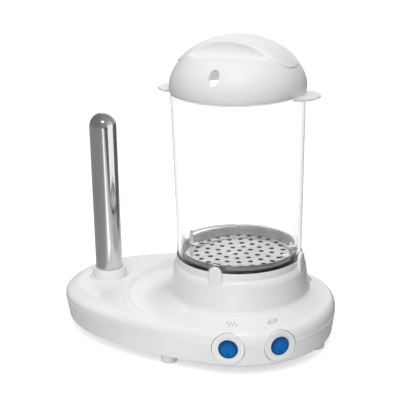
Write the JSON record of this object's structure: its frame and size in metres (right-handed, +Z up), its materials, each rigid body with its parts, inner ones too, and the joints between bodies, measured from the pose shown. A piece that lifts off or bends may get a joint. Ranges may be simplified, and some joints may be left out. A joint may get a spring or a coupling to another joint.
{
  "type": "hot dog maker",
  "caption": "Table-top hot dog maker: egg-shaped white base with a lidded clear steam tank on a raised collar, a heated steel spike for the roll and blue rocker switches.",
  "frame": {"origin": "on the table, under the middle of the base's outline", "axes": "+Z up, +X towards the tank end, -Y towards the switches"},
  "size_m": [0.2894, 0.1938, 0.313],
  "materials": {
    "white_gloss": "glossy moulded plastic",
    "white_matte": "satin moulded plastic",
    "foot_rubber": "matt pale rubber",
    "seal_rubber": "silicone",
    "polished_steel": "polished stainless steel",
    "element_steel": "dull steel sheath",
    "zinc": "zinc-plated steel",
    "aluminium": "cast aluminium",
    "black_plastic": "moulded phenolic",
    "sleeve": "nylon and glass-fibre sleeve",
    "insulator": "unglazed ceramic",
    "blue_clear": "tinted clear plastic",
    "lamp_glass": "glow lamp glass",
    "brass": "brass",
    "lead_cover": "silicone lead cover",
    "clear": "clear moulded plastic"
  },
  "bodies": {
    "base": {"upper_housing": "white_gloss", "lower_housing": "white_gloss", "feet": "foot_rubber", "housing_screws": "zinc", "heating_bowl": "polished_steel", "bowl_seal": "seal_rubber", "heat_plate": "aluminium", "heating_element": "element_steel", "clamp_bar": "zinc", "clamp_screws": "zinc", "thermostat": "black_plastic", "thermal_fuse": "sleeve", "fuse_clip": "zinc", "spike_tube": "polished_steel", "spike_ring": "white_gloss", "spike_retainer": "zinc", "spike_screws": "zinc", "spike_heater": "element_steel", "spike_insulator": "insulator", "left_switch_dish": "white_gloss", "left_switch_body": "white_gloss", "left_switch_lamp": "lamp_glass", "left_switch_tabs": "brass", "right_switch_dish": "white_gloss", "right_switch_body": "white_gloss", "right_switch_lamp": "lamp_glass", "right_switch_tabs": "brass", "cord_gland": "white_matte", "cord_clamp": "white_matte", "cord_clamp_screws": "zinc", "terminal_block": "sleeve", "terminal_screws": "brass", "supply_leads": "lead_cover", "tank_leads": "lead_cover", "spike_leads": "lead_cover"},
    "tank": {"container": "clear"},
    "cover": {"lid": "white_gloss"},
    "sausage_tray": {"tray": "polished_steel", "tray_eyelets": "polished_steel"},
    "tray_bail": {"bail": "polished_steel"},
    "left_rocker_body": {"left_rocker": "blue_clear"},
    "right_rocker_body": {"right_rocker": "blue_clear"}
  },
  "joints": [
    {"name": "container_lift", "type": "slide", "parent": "base", "child": "tank", "axis": [0, 0, 1], "range_m": [0, 0.2]},
    {"name": "lid_lift", "type": "slide", "parent": "tank", "child": "cover", "axis": [0, 0, 1], "range_m": [0, 0.08]},
    {"name": "tray_lift", "type": "slide", "parent": "base", "child": "sausage_tray", "axis": [0, 0, 1], "range_m": [0, 0.1]},
    {"name": "bail_swing", "type": "hinge", "parent": "sausage_tray", "child": "tray_bail", "pos_m": [0.048, 0, 0.105], "axis": [1, 0, 0], "range_deg": [0, 184]},
    {"name": "left_rocker_tilt", "type": "hinge", "parent": "base", "child": "left_rocker_body", "pos_m": [0.07083, -0.09158, 0.0288], "axis": [-0.9703, -0.2419, 0], "range_deg": [0, 22]},
    {"name": "right_rocker_tilt", "type": "hinge", "parent": "base", "child": "right_rocker_body", "pos_m": [0.11416, -0.06732, 0.0288], "axis": [-0.7133, -0.7009, 0], "range_deg": [0, 22]}
  ]
}
